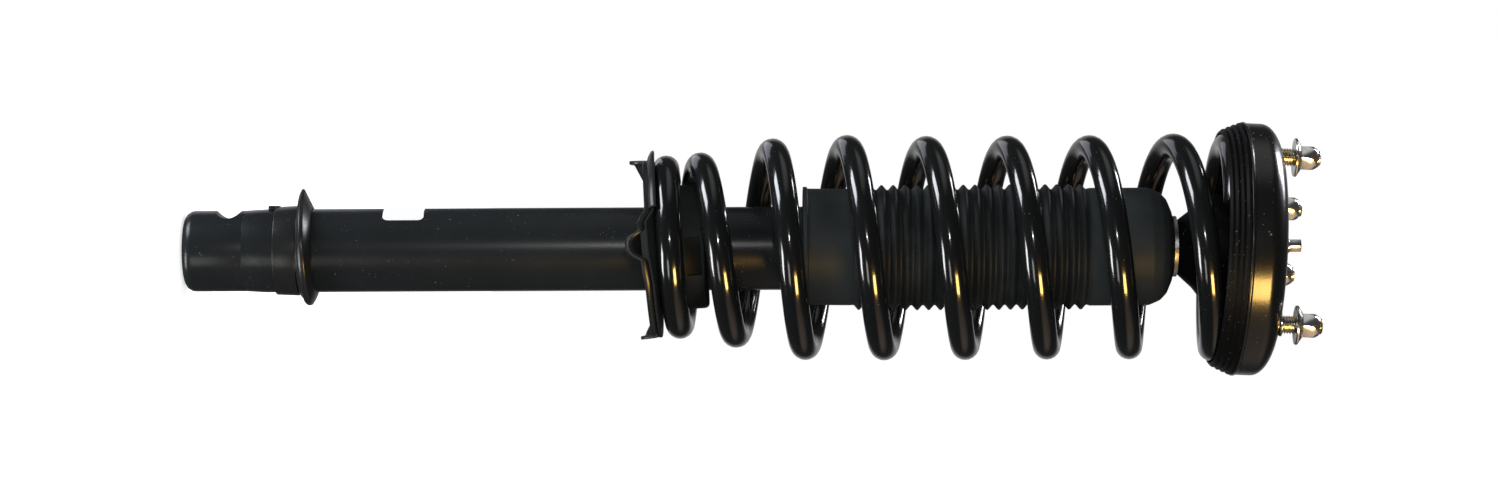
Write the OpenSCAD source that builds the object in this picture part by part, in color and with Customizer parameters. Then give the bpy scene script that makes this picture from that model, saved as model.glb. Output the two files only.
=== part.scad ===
// Coil-over suspension strut: a twin-tube damper that clamps into a fork at its lower end, a coil
// spring round it, and a rubber-bushed upper mount with studs. Millimetres, +Z up along the strut's
// axis, studs up. The origin is on the axis, level with the pinch-bolt groove of the clamp zone.

/* [Damper tube] */
// Outer diameter of the damper tube
tube_od = 46.6; // [44:0.2:48]
// Diameter of the clamp zone that the fork grips
clamp_od = 45.2; // [43:0.2:45.6]
// Height of the tube's upper end above the pinch groove
tube_top = 366; // [360:1:368]
// Depth of the pinch-bolt groove
groove_depth = 4.5; // [3:0.5:5]
// Radius of the pinch-bolt groove
groove_r = 8.1; // [6:0.1:9]

/* [Fork stop] */
// Diameter of the sleeve that the fork seats against
collar_od = 50.4; // [49:0.2:54]
// Diameter of the flared ring above the sleeve
flange_od = 61.5; // [60:0.5:66]
// Reach of the flange's ear from the axis
ear_reach = 34.8; // [33:0.2:36]

/* [Rod] */
// Diameter of the piston rod
rod_d = 12.5; // [12:0.1:13]
// Bore of the working cylinder
cylinder_bore = 30; // [29:0.5:31]
// Stroke from full length to the bump stop
stroke = 100; // [80:1:100]

/* [Lower seat] */
// Diameter of the lower spring pan
seat_od = 98.4; // [96:0.2:102]
// Tilt of the lower spring pan in degrees
seat_tilt = 3.5; // [0:0.1:4]
// Radial ribs pressed into the pan
rib_count = 4; // [4:1:6]

/* [Coil spring] */
// Diameter of the wire
wire_d = 14; // [13:0.2:14]
// Mean diameter of the working coils
coil_mean_d = 111.6; // [110:0.2:112]
// Turns from one cut end of the wire to the other
coil_turns = 8.28; // [8.1:0.02:8.4]

/* [Dust boot] */
// Number of bellows ribs
boot_ribs = 17; // [12:1:17]
// Outer diameter over the ribs
boot_od = 71.2; // [69:0.2:72]
// Wall thickness of the boot
boot_wall = 1.6; // [1.2:0.1:1.8]

/* [Upper mount] */
// Outer diameter of the mount housing
mount_od = 141; // [139:0.5:143]
// Height of the mount's flat face above the pinch groove
mount_face = 585.1; // [584:0.1:586]
// Tilt of the upper mount in degrees
mount_tilt = 2.8; // [2:0.2:3.2]
// Radius of the circle on which the studs stand
stud_circle_r = 54; // [52:0.5:55]
// Thread diameter of the studs
stud_d = 10; // [8:1:10]

/* [Hidden] */
$fn = 96;

// how far a cut runs past the face it opens
past = 1;
// radial play of a running fit
play = 0.05;
// a length that cuts through any piece
through = 200;

tube_r = tube_od / 2;
clamp_r = clamp_od / 2;
tube_wall = 2.2;
tube_bore_r = tube_r - tube_wall;

// closed lower end
base_z = -24.6;
base_top = 9;
base_round = 5.6;
base_wall = 3;
spigot_top = 17;
// where the seam of the closed end's round wall lies, away from the groove
seam_az = 36;

// sleeve and flange above the clamp zone
collar_z = 26.3;
collar_top = 39.2;
flange_z = 43.2;
flange_lean = 3;

// lower seat, given at the plane on which the wire lies
seat_z = 240.1;
seat_r = seat_od / 2;
pad_t = 1.6;
pan_t = 1.8;
skirt_h = 3.4;
rib_start_r = 33;
rib_r = 9;
rib_wall = 1.6;
neck_h = 24;
neck_r = 33;
hub_r = 34.8;
hub_h = 26.5;
rib_az = -93;
// wall that stands up from the pan's rim beside the first coil
wall_az = 191;
wall_span = 52;
wall_r = 55;
wall_h = 4.2;

// coil spring: the turn counts and heights of the wire's centre on the strut's axis
wire_r = wire_d / 2;
coil_start_angle = 145;
coil_shift = 0.3;
coil_ring_steps = 24;
wire_sides = 8;
coil_rise = [[0.575, 247.3], [1.1, 264.6], [2.1, 302.6], [3.1, 344.5], [4.1, 389.5], [5.1, 434.8],
    [6.1, 480.7], [7.1, 526.9], [7.65, 556.2]];
// slope of each coil's plane along X, from one seat's tilt to the other's
coil_lean = [[0.575, tan(seat_tilt)], [1.1, 0.026], [1.6, -0.008], [2.1, -0.0236], [2.6, -0.0252],
    [3.6, -0.0116], [5.1, -0.0074], [7.1, -0.01], [7.55, -0.04], [7.65, -tan(mount_tilt)]];
first_coil_r = 43;
last_coil_r = 57.2;
// turns over which the coil widens from the seat, and again towards the mount
widen_from = 0.75;
widen_to = 2.65;
flare_from = 6.6;
flare_to = 7.6;
// half width of the window that rounds off the changes of pitch
ease = 0.2;

// damper internals
cylinder_r = cylinder_bore / 2;
cylinder_wall = 1.5;
cylinder_z = 20;
cylinder_top = tube_top - 20;
rod_r = rod_d / 2;
spigot_r = 4.5;
piston_z = 298;
piston_top = 308;
stop_z = 310;
stop_t = 2;
nut_h = 8;
shims_t = 1.6;
rebound_z = 320;
rebound_ring_top = 324;
guide_spigot = 6;
bumper_gap = 0.2;
guide_top = tube_top - 8;
seal_top = tube_top - 2;
cap_top = tube_top + 3.5;
bush_t = 1.1;

// base valve
valve_flange_t = 3;
valve_top = 27;
check_t = 0.8;
check_lift = 1;
check_gap = 0.1;
pin_r = 3;

// boot and bump stop
boot_z = 320.9;
boot_cuff_r = 32.8;
boot_cuff_top = 347;
bellows_z = 350;
bellows_top = 466;
boot_valley_r = 32.4;
boot_sleeve_r = 33;
boot_dome_z = 514;
boot_dome_round = 11;
boot_top = 527.4;
boot_neck_r = 19;
bump_gap = 0.5;
bump_z = cap_top + stroke + bump_gap;
plate_t = 2;

// rod top
thread_r = 5;
rod_shoulder = 527.5;
thread_top = 593;
tip_r = 4;
rod_tip = 601;

// upper mount, in a frame whose origin is the centre of the flat face; the frame tilts about Y at
// this height on the rod
tilt_z = 531;
mount_r = mount_od / 2;
sheet_t = 3;
housing_h = 22;
housing_round = 15;
well_r = 32;
well_hole_r = 14;
well_floor = -24.6;
collar_outer_r = 9;
bolt_play = 0.1;
washer_z = 577;
washer_t = 2.5;
rod_nut_z = washer_z + washer_t;
stud_r = stud_d / 2;
stud_h = 25;
stud_head_r = 6.5;
stud_head_t = 2;
// a stud's head lies this far under the flat of the sheet, clear of its rounded shoulder
stud_head_drop = 1;
// azimuth of each stud, and how far its nut stands off the face
studs = [[168, 10], [117, 9], [76, 9], [-41, 8]];

// ---------- shared shapes ----------

// a ring or washer from z0 to z1
module ring(r_out, r_in, z0, z1) {
    translate([0, 0, z0]) difference() {
        cylinder(r = r_out, h = z1 - z0);
        translate([0, 0, -past]) cylinder(r = r_in, h = z1 - z0 + 2 * past);
    }
}

// places its children in the lower seat's tilted frame
module on_seat() {
    translate([0, 0, seat_z]) rotate([0, -seat_tilt, 0]) children();
}

// places its children in the upper mount's tilted frame
module on_mount() {
    translate([0, 0, tilt_z]) rotate([0, mount_tilt, 0]) translate([0, 0, mount_face - tilt_z])
        children();
}

// cuts the damper tube out of what surrounds it
module round_tube() {
    difference() {
        children();
        cylinder(r = tube_r, h = mount_face);
    }
}

// a hexagon across its flats
module hexagon(flats) {
    circle(d = flats / cos(30), $fn = 6);
}

// points of a rounded corner between two directions
function arc(cx, cy, r, a0, a1, steps = 6) =
    [for (i = [0 : steps]) let (a = a0 + (a1 - a0) * i / steps) [cx + r * cos(a), cy + r * sin(a)]];

// ---------- damper body ----------

module groove_bar(r) {
    translate([-clamp_r + groove_depth - groove_r, 0, 0]) rotate([90, 0, 0])
        cylinder(r = r, h = 3 * clamp_r, center = true);
}

// Closed lower end: a deep-drawn cup whose wall follows the pinch groove inwards.
module base_cup() {
    outer = concat([[0, base_z]],
        arc(clamp_r - base_round, base_z + base_round, base_round, -90, 0, 8),
        [[clamp_r, base_top], [tube_bore_r, base_top], [tube_bore_r, spigot_top], [0, spigot_top]]);
    color([0.11, 0.11, 0.12]) difference() {
        rotate([0, 0, seam_az]) rotate_extrude() polygon(outer);
        difference() {
            translate([0, 0, base_z + base_wall + 1]) cylinder(r = clamp_r - base_wall, h = through);
            groove_bar(groove_r + base_wall);
        }
        groove_bar(groove_r);
    }
}

// Outer tube: a short shoulder above the clamp zone, and a lip rolled in over the guide at the top.
module damper_tube() {
    color([0.12, 0.12, 0.13]) rotate_extrude() polygon([
        [tube_bore_r, base_top], [clamp_r, base_top], [tube_r, base_top + 3], [tube_r, tube_top - 1.5],
        [tube_r - 1.5, tube_top], [tube_bore_r - 5, tube_top], [tube_bore_r - 5, seal_top],
        [tube_bore_r, seal_top]]);
}

// Sleeve that the fork seats against, with the key that turns the fork's slot to its place.
module fork_collar() {
    collar_r = collar_od / 2;
    color([0.13, 0.13, 0.14]) round_tube() union() {
        rotate_extrude() polygon([[0, collar_z], [collar_r - 0.8, collar_z], [collar_r, collar_z + 1],
            [collar_r, collar_top - 0.6], [collar_r - 0.6, collar_top], [0, collar_top]]);
        translate([-collar_r + 0.2, -5, collar_z - 4.2]) cube([4, 10, 6.6]);
    }
}

// Flared ring above the sleeve, drawn out into a pointed ear on one side.
module stop_flange() {
    flange_r = flange_od / 2;
    tangent = acos(flange_r / ear_reach);
    touch = [-flange_r * cos(tangent), flange_r * sin(tangent)];
    color([0.15, 0.15, 0.16]) round_tube() union() {
        translate([0, 0, collar_top]) cylinder(r = 24.6, h = 4);
        difference() {
            // the drawn ring leans, with its ear lowest
            translate([0, 0, flange_z]) rotate([0, -flange_lean, 0]) union() {
                rotate_extrude() polygon(concat([[0, -4], [25.4, -4], [29.4, -2]],
                    arc(flange_r - 1.5, 0, 1.5, -50, 60, 4), [[27.4, 3.2], [24.6, 4.4], [0, 5.1]]));
                // the ear is a wedge between the ring's two tangents, with a blunt tip
                translate([0, 0, -2]) linear_extrude(height = 2.6) polygon([
                    touch, [-ear_reach, 1.6], [-ear_reach, -1.6], [touch[0], -touch[1]],
                    [-flange_r + 6, -9], [-flange_r + 6, 9]]);
            }
            cylinder(r = 27, h = collar_top);
        }
    }
}

// One pressed rib, as a cone lying along a radius of the pan and widening past its rim.
module rib_cone(r, start) {
    length = seat_r + 2 - start;
    translate([start, 0, -pad_t - pan_t / 2]) rotate([0, 90, 0])
        cylinder(r1 = 0.5, r2 = r * length / (seat_r - start), h = length);
}

// The ribs' outer form, or with a wall's inset the channels pressed into them.
module ribs(inset = 0) {
    for (i = [0 : rib_count - 1]) rotate(i * 360 / rib_count + rib_az)
        rib_cone(rib_r - inset, rib_start_r + 2 * inset);
}

// Lower pan: a dished plate with a turned-down skirt, hollow ribs open at the rim, and a short
// flared wall outside the first coil.
module lower_spring_seat() {
    pan_top = -pad_t;
    color([0.13, 0.13, 0.14]) round_tube() on_seat() {
        difference() {
            union() {
                translate([0, 0, pan_top - pan_t]) cylinder(r = seat_r, h = pan_t);
                ring(seat_r, seat_r - pan_t, pan_top - skirt_h, pan_top);
                translate([0, 0, pan_top - 6]) cylinder(r = tube_r + 2, h = 6);
                intersection() {
                    ribs();
                    translate([0, 0, pan_top - 20]) cylinder(r = seat_r, h = 20);
                }
            }
            ribs(rib_wall);
        }
        rotate([0, 0, wall_az]) rotate_extrude(angle = wall_span) polygon([
            [seat_r - 1, pan_top - 1.5], [seat_r + 1.4, pan_top - 1.5], [wall_r, wall_h - 1],
            [wall_r, wall_h], [wall_r - 1.6, wall_h], [seat_r + 0.7, pan_top - 0.1],
            [seat_r - 1, pan_top - 0.1]]);
    }
}

// Steel neck under the rubber, closed inwards onto the tube.
module seat_neck() {
    color([0.14, 0.14, 0.15]) round_tube() on_seat()
        rotate_extrude() polygon(concat([[neck_r - 2, -pad_t], [neck_r, -pad_t]],
            arc(neck_r - 4, neck_h - 4, 4, 0, 90, 5),
            [[0, neck_h], [0, neck_h - 2]], arc(neck_r - 4, neck_h - 4, 2, 90, 0, 4)));
}

// Rubber pad under the first coil, with a tongue in each rib and the moulded neck inside the coil.
module lower_insulator() {
    color([0.24, 0.23, 0.22]) round_tube() on_seat() {
        difference() {
            union() {
                translate([0, 0, -pad_t]) cylinder(r = seat_r + 0.4, h = pad_t);
                rotate_extrude() polygon(concat([[0, -pad_t],
                    [hub_r, -pad_t]], arc(hub_r - 3, hub_h - 3, 3, 0, 90, 5), [[0, hub_h]]));
                // moulded window on the neck
                intersection() {
                    cylinder(r = hub_r + 0.6, h = hub_h);
                    translate([-10, -hub_r - 2, 11]) cube([22, 6, 8.5]);
                }
            }
            translate([0, 0, -past - pad_t]) cylinder(r = neck_r, h = neck_h + pad_t + past);
            cylinder(r = neck_r - 4, h = through);
        }
        intersection() {
            ribs(rib_wall + 0.1);
            translate([0, 0, -pad_t - 2.5]) cylinder(r = seat_r - 0.5, h = 3);
        }
    }
}

// ---------- coil spring ----------

function ease_step(u) = let (v = min(max(u, 0), 1)) v * v * (3 - 2 * v);
// a table looked up and rounded off over a short window of turns
function total(v, i = 0) = i < len(v) ? v[i] + total(v, i + 1) : 0;
function eased(t, table) = total([for (i = [-4 : 4]) lookup(t + ease * i / 4, table)]) / 9;
function coil_r(t) = first_coil_r
    + (coil_mean_d / 2 - first_coil_r) * ease_step((t - widen_from) / (widen_to - widen_from))
    + (last_coil_r - coil_mean_d / 2) * ease_step((t - flare_from) / (flare_to - flare_from));
// centre of the wire after t turns
function wire_at(t) =
    let (a = coil_start_angle + 360 * t, x = coil_r(t) * cos(a) + coil_shift)
    [x, coil_r(t) * sin(a), eased(t, coil_rise) + x * eased(t, coil_lean)];
function unit(v) = v / norm(v);
// a ring of points round the wire, square to its run
function wire_ring(t) =
    let (c = wire_at(t), run = unit(wire_at(t + 0.01) - wire_at(t - 0.01)),
        out = unit(cross(run, [0, 0, 1])), up = cross(out, run))
    [for (j = [0 : wire_sides - 1]) let (a = 360 * (j + 0.5) / wire_sides)
        c + wire_r / cos(180 / wire_sides) * (out * cos(a) + up * sin(a))];

coil_rings = ceil(coil_turns * coil_ring_steps);
coil_centres = [for (i = [0 : coil_rings]) wire_at(coil_turns * i / coil_rings)];
// least distance between surfaces of the wire at least half a turn apart
coil_gap = min([for (i = [0 : coil_rings], j = [i + 12 : 1 : coil_rings])
    norm(coil_centres[j] - coil_centres[i])]) - wire_d;
echo(least_gap_of_the_coil_to_itself_mm = coil_gap);

// Right-hand coil of round wire as one unbroken tube, close-set on the pan and flat under the mount.
module coil_spring() {
    n = wire_sides;
    points = [for (i = [0 : coil_rings]) each wire_ring(coil_turns * i / coil_rings)];
    last = coil_rings * n;
    sides = [for (i = [0 : coil_rings - 1], j = [0 : n - 1])
        let (a = i * n + j, b = i * n + (j + 1) % n) each [[a, b, b + n], [a, b + n, a + n]]];
    ends = [for (j = [1 : n - 2]) each [[0, j + 1, j], [last, last + j, last + j + 1]]];
    color([0.05, 0.05, 0.055]) polyhedron(points, concat(sides, ends));
}

// ---------- damper internals ----------

module pressure_tube() {
    color([0.6, 0.6, 0.62]) ring(cylinder_r + cylinder_wall, cylinder_r, cylinder_z, cylinder_top);
}

// Valve body: a slotted flange on the cup's spigot and a ported plug in the working cylinder.
module base_valve() {
    color([0.55, 0.53, 0.5]) difference() {
        union() {
            translate([0, 0, spigot_top]) cylinder(r = tube_bore_r - 0.1, h = valve_flange_t);
            translate([0, 0, cylinder_z]) cylinder(r = cylinder_r, h = valve_top - cylinder_z);
        }
        translate([0, 0, spigot_top - past]) cylinder(r = pin_r, h = 20);
        for (i = [0 : 5]) rotate(60 * i) {
            translate([8.5, 0, spigot_top - past]) cylinder(d = 4, h = 20);
            translate([18, -1.5, spigot_top - past]) cube([6, 3, 10]);
        }
    }
}

module base_check_plate() {
    color([0.75, 0.75, 0.77]) ring(13, pin_r + 0.3, valve_top + check_gap, valve_top + check_gap + check_t);
}

// Pin riveted through the valve body; its head stops the lifting plate.
module base_valve_pin() {
    head_z = valve_top + check_gap + check_t + check_lift + check_gap;
    color([0.7, 0.7, 0.72]) union() {
        translate([0, 0, spigot_top - 2]) cylinder(r = pin_r, h = head_z - spigot_top + 3);
        translate([0, 0, spigot_top - 2]) cylinder(r = 5, h = 2);
        translate([0, 0, head_z]) cylinder(r = 6, h = 2);
    }
}

// Guide that centres the rod and closes both tubes, with a spigot in the working cylinder.
module rod_guide() {
    bush_r = rod_r + bush_t;
    color([0.5, 0.49, 0.47]) difference() {
        union() {
            translate([0, 0, cylinder_top]) cylinder(r = tube_bore_r, h = guide_top - cylinder_top);
            translate([0, 0, cylinder_top - guide_spigot]) cylinder(r = cylinder_r, h = guide_spigot);
        }
        translate([0, 0, cylinder_top - guide_spigot - past]) cylinder(r = bush_r, h = through);
        for (i = [0 : 3]) rotate(90 * i + 45)
            translate([18.8, 0, cylinder_top - past]) cylinder(d = 2.4, h = 20);
    }
}

module guide_bush() {
    color([0.55, 0.45, 0.3])
        ring(rod_r + bush_t, rod_r + play, cylinder_top - guide_spigot, guide_top);
}

// Rod seal with its wiping lip raised round the rod.
module oil_seal() {
    color([0.08, 0.08, 0.08]) rotate_extrude() polygon([
        [rod_r + play, guide_top], [tube_bore_r, guide_top], [tube_bore_r, seal_top],
        [rod_r + 4, seal_top], [rod_r + 1.2, seal_top + 1.6], [rod_r + play, seal_top + 1.6]]);
}

// Striker cap pressed over the tube's top end.
module tube_cap() {
    cap_r = tube_r + 1.6;
    color([0.3, 0.3, 0.31]) rotate_extrude() polygon(concat([
        [tube_r, cap_top - 22], [cap_r, cap_top - 22]], arc(cap_r - 2.5, cap_top - 2.5, 2.5, 0, 90, 5),
        [[rod_r + 4.5, cap_top], [rod_r + 4.5, tube_top + 0.1], [tube_r, tube_top + 0.1]]));
}

// ---------- rod and piston ----------

// Rod: threaded spigot for the piston, ground shank, shoulder, thread and flatted tip.
module piston_rod() {
    color([0.78, 0.79, 0.8]) union() {
        rotate_extrude() polygon([
            [0, piston_z - shims_t - nut_h - 3], [spigot_r - 1, piston_z - shims_t - nut_h - 3],
            [spigot_r, piston_z - shims_t - nut_h - 2], [spigot_r, stop_z + stop_t],
            [rod_r, stop_z + stop_t], [rod_r, rod_shoulder], [thread_r, rod_shoulder],
            [thread_r, thread_top - 1], [thread_r - 1, thread_top], [0, thread_top]]);
        translate([0, 0, thread_top - past]) linear_extrude(height = rod_tip - thread_top + past)
            hexagon(2 * tip_r * cos(30));
    }
}

// Piston: ported body with a groove for its band and a boss for the stop washer.
module piston() {
    land_r = cylinder_r - 0.3;
    color([0.45, 0.44, 0.43]) difference() {
        rotate_extrude() polygon([[spigot_r, piston_z], [land_r, piston_z], [land_r, piston_z + 2],
            [land_r - 0.8, piston_z + 2], [land_r - 0.8, piston_top - 2], [land_r, piston_top - 2],
            [land_r, piston_top], [7, piston_top], [7, stop_z], [spigot_r, stop_z]]);
        for (i = [0 : 5]) rotate(60 * i)
            translate([10.4, 0, piston_z - past]) cylinder(d = 3.2, h = 20);
    }
}

module piston_band() {
    color([0.1, 0.16, 0.13])
        ring(cylinder_r - play, cylinder_r - 1.1, piston_z + 2, piston_top - 2);
}

module piston_check_plate() {
    color([0.75, 0.75, 0.77])
        ring(13, 7.3, piston_top + check_gap, piston_top + check_gap + check_t - 0.2);
}

module check_stop() {
    color([0.6, 0.6, 0.62]) ring(12, spigot_r, stop_z, stop_z + stop_t);
}

// Rebound shims, as a stack that narrows away from the piston.
module rebound_shims() {
    color([0.72, 0.73, 0.75]) rotate_extrude() polygon([
        [spigot_r, piston_z], [12, piston_z], [12, piston_z - 0.4], [10.5, piston_z - 0.4],
        [10.5, piston_z - 0.8], [9, piston_z - 0.8], [9, piston_z - shims_t],
        [spigot_r, piston_z - shims_t]]);
}

module piston_nut() {
    color([0.6, 0.6, 0.62]) translate([0, 0, piston_z - shims_t - nut_h]) difference() {
        linear_extrude(height = nut_h) hexagon(15);
        translate([0, 0, -past]) cylinder(r = spigot_r, h = nut_h + 2 * past);
    }
}

module rebound_stop() {
    color([0.55, 0.55, 0.57]) ring(10.5, rod_r, rebound_z, rebound_ring_top);
}

module rebound_bumper() {
    top = cylinder_top - guide_spigot - bumper_gap;
    color([0.1, 0.1, 0.1]) rotate_extrude() polygon([
        [rod_r + 0.1, rebound_ring_top], [10.5, rebound_ring_top], [11.5, rebound_ring_top + 3],
        [11.5, top - 3], [10, top], [rod_r + 0.1, top]]);
}

// ---------- boot and bump stop ----------

// Cellular bump stop with two waists.
module bump_stop() {
    color([0.72, 0.66, 0.45]) rotate_extrude() polygon(concat([
        [rod_r + 0.2, bump_z + 2], [rod_r + 3, bump_z], [13, bump_z]],
        arc(14, bump_z + 8, 6, -50, 50, 5), arc(23.5, bump_z + 19, 4.5, 230, 130, 4),
        arc(17, bump_z + 29, 6, -50, 50, 5), arc(26.5, bump_z + 40, 4.5, 230, 130, 4),
        [[24, bump_z + 46], [24, bump_z + 50], [boot_neck_r, boot_top - 4.8],
        [10, boot_top - boot_wall - 0.1], [rod_r + 0.2, boot_top - boot_wall - 0.1]]));
}

// Outer line of the boot from the open cuff up to the domed neck, moved inwards by the inset.
function boot_line(inset) = let (pitch = (bellows_top - bellows_z) / boot_ribs,
        crest = boot_od / 2 - inset, valley = boot_valley_r - inset, w = inset * 0.25)
    concat([[boot_cuff_r + 0.7 - inset, boot_z], [boot_cuff_r + 0.7 - inset, boot_z + 1.8],
        [boot_cuff_r - inset, boot_z + 2.4], [boot_cuff_r - inset, boot_cuff_top]],
        [for (i = [0 : boot_ribs - 1]) let (z = bellows_z + pitch * i) each [
            [valley, z + 0.6 + w], [crest, z + pitch / 2 - 0.9 + w],
            [crest, z + pitch / 2 + 0.9 - w], [valley, z + pitch - 0.6 - w]]],
        [[boot_sleeve_r - inset, bellows_top + 2], [boot_sleeve_r - inset, boot_dome_z]],
        arc(boot_sleeve_r - boot_dome_round, boot_dome_z, boot_dome_round - inset, 15, 75, 4),
        [[boot_neck_r, boot_top - 1.4 - inset]]);

// Ribbed boot: open round the tube, closed onto the boot plate at the top.
module dust_boot() {
    outer = boot_line(0);
    inner = boot_line(boot_wall);
    color([0.16, 0.155, 0.15]) rotate_extrude() polygon(concat(outer,
        [[boot_neck_r - 2, boot_top], [rod_r + 4, boot_top], [rod_r + 4, boot_top - boot_wall]],
        [for (i = [len(inner) - 1 : -1 : 0]) inner[i]]));
}

// Plate between the rod's shoulder and the lower mount rubber.
module boot_plate() {
    color([0.5, 0.5, 0.52]) ring(17, thread_r + bolt_play, rod_shoulder, rod_shoulder + plate_t);
}

// ---------- upper mount ----------

// The rubbers stand square to the mount's plate and are bored along the rod.
module along_rod_bore(r) {
    difference() {
        children();
        translate([0, 0, boot_top]) cylinder(r = r, h = through);
    }
}

// Cone-shaped lower bush.
module lower_mount_rubber() {
    top = well_floor - sheet_t;
    color([0.1, 0.1, 0.1]) difference() {
        along_rod_bore(collar_outer_r) on_mount() rotate_extrude() polygon(concat(
            [[0, -56], [14.6, -56], [23, -46]], arc(24, -38, 6, -20, 60, 5),
            [[30, -31], [30, top], [0, top]]));
        translate([0, 0, 500]) cylinder(r = 60, h = rod_shoulder + plate_t - 500);
    }
}

module mount_collar() {
    color([0.6, 0.6, 0.62])
        ring(collar_outer_r, thread_r + bolt_play, rod_shoulder + plate_t, washer_z);
}

// Housing: a pressed cup with rounded shoulders, a rolled rim and a central well for the rod nut.
module mount_base() {
    inner_r = mount_r - sheet_t;
    flat_r = mount_r - housing_round;
    color([0.07, 0.07, 0.075]) on_mount() difference() {
        rotate_extrude() polygon(concat(
            [[well_hole_r, well_floor], [well_r - 3, well_floor]],
            arc(well_r - 3, well_floor + 3, 3, -90, 0, 4),
            arc(well_r + 4, -4, 4, 180, 90, 4),
            arc(flat_r, -housing_round, housing_round, 90, 0, 8),
            [[mount_r, -housing_h + 2], [mount_r + 0.6, -housing_h + 1.2],
            [mount_r + 0.6, -housing_h], [inner_r, -housing_h]],
            arc(flat_r, -housing_round, housing_round - sheet_t, 0, 90, 8),
            arc(well_r + 4, -4, 1, 90, 180, 3),
            [[well_r + sheet_t, well_floor - sheet_t], [well_hole_r, well_floor - sheet_t]]));
        for (s = studs) rotate(s[0]) translate([stud_circle_r, 0, -sheet_t - past])
            cylinder(r = stud_r, h = sheet_t + 2 * past);
    }
}

module upper_mount_rubber() {
    color([0.1, 0.1, 0.1]) difference() {
        along_rod_bore(collar_outer_r) on_mount() rotate_extrude() polygon(concat([[0, well_floor],
            [26, well_floor]], arc(24, well_floor + 8, 4, -30, 60, 4),
            [[23, well_floor + 20], [0, well_floor + 20]]));
        translate([0, 0, washer_z]) cylinder(r = 60, h = 60);
    }
}

// Ridged rubber ring between the last coil and the housing.
module upper_insulator() {
    lip_r = mount_r + 0.2;
    inner_r = mount_r - sheet_t - 0.1;
    wire_top = -21.5;
    color([0.09, 0.09, 0.09]) on_mount() difference() {
        rotate_extrude() polygon([
            [45, wire_top - 8], [46.4, wire_top - 8], [48.4, wire_top - 3], [48.4, wire_top],
            [65.7, wire_top], [65.7, wire_top - 10.9], [64.8, wire_top - 12.4],
            [65.8, wire_top - 12.4], [66.8, wire_top - 11.2],
            [66.5, wire_top - 9.9], [67.6, wire_top - 9.4], [68.2, wire_top - 8.1],
            [67.7, wire_top - 7], [68.9, wire_top - 6.5], [69.4, wire_top - 5.2],
            [68.8, wire_top - 4.2], [69.9, wire_top - 3.6], [lip_r, wire_top - 2.3],
            [lip_r, -housing_h - 0.1], [inner_r, -housing_h - 0.1], [inner_r, -housing_round],
            [58, -sheet_t - 1.2], [45, -sheet_t - 0.1]]);
        for (s = studs) rotate(s[0])
            translate([stud_circle_r, 0, -sheet_t - stud_head_drop - stud_head_t - 0.2])
                cylinder(r = stud_head_r + 0.2, h = stud_head_t + stud_head_drop + 1);
    }
}

// Dished washer over the upper bush.
module mount_washer() {
    color([0.75, 0.72, 0.6]) rotate_extrude() polygon([
        [thread_r + bolt_play, washer_z], [20, washer_z], [23, washer_z + 1], [23, washer_z + 3],
        [20, washer_z + washer_t], [thread_r + bolt_play, washer_z + washer_t]]);
}

// Self-locking nut with a round collar above its hexagon.
module rod_nut() {
    color([0.75, 0.72, 0.6]) translate([0, 0, rod_nut_z]) difference() {
        union() {
            intersection() {
                linear_extrude(height = 7.5) hexagon(15);
                cylinder(r1 = 9.6, r2 = 7.9, h = 7.6);
            }
            cylinder(r = 7, h = 9.5);
            cylinder(r = 9.4, h = 1.2);
        }
        translate([0, 0, -past]) cylinder(r = thread_r, h = 20);
    }
}

// Studs pressed up through the housing, each with its head under the sheet.
module mount_studs() {
    color([0.78, 0.76, 0.68]) on_mount() for (s = studs) rotate(s[0]) translate([stud_circle_r, 0, 0])
        union() {
            translate([0, 0, -sheet_t - 2]) cylinder(r = stud_r, h = stud_h - 1.6 + sheet_t + 2);
            translate([0, 0, -sheet_t - stud_head_drop - stud_head_t])
                cylinder(r = stud_head_r, h = stud_head_t);
            translate([0, 0, stud_h - 1.6]) cylinder(r1 = stud_r, r2 = stud_r - 1.2, h = 1.6);
        }
}

// Flange nuts: a wide conical flange, a hexagon with a rounded locking end.
module stud_nuts() {
    flats = 14;
    color([0.8, 0.78, 0.7]) on_mount() for (s = studs) rotate(s[0])
        translate([stud_circle_r, 0, s[1]]) difference() {
            union() {
                cylinder(r = 11, h = 1.4);
                translate([0, 0, 1.4]) cylinder(r1 = 10.4, r2 = 7.2, h = 2.4);
                intersection() {
                    linear_extrude(height = 13) hexagon(flats);
                    rotate_extrude() polygon(concat([[0, 0], [9, 0], [8.5, 9.4]],
                        arc(4.2, 9, 4, 5, 75, 4), [[0, 13]]));
                }
            }
            translate([0, 0, -past]) cylinder(r = stud_r, h = 20);
        }
}

base_cup();
damper_tube();
fork_collar();
stop_flange();
lower_spring_seat();
seat_neck();
lower_insulator();
coil_spring();
pressure_tube();
base_valve();
base_check_plate();
base_valve_pin();
rod_guide();
guide_bush();
oil_seal();
tube_cap();
piston_rod();
piston();
piston_band();
piston_check_plate();
check_stop();
rebound_shims();
piston_nut();
rebound_stop();
rebound_bumper();
bump_stop();
dust_boot();
boot_plate();
lower_mount_rubber();
mount_collar();
mount_base();
upper_mount_rubber();
upper_insulator();
mount_washer();
rod_nut();
mount_studs();
stud_nuts();
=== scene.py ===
"""Dressed model of a coil-over suspension strut, built round its fixed solids: painted tube and
pressed seats, drawn wire spring, moulded boot, rubber-bushed mount and zinc-plated fasteners."""

from math import cos, pi, radians, sin, sqrt, tau

import bmesh
import bpy
from mathutils import Matrix, Vector, noise


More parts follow.
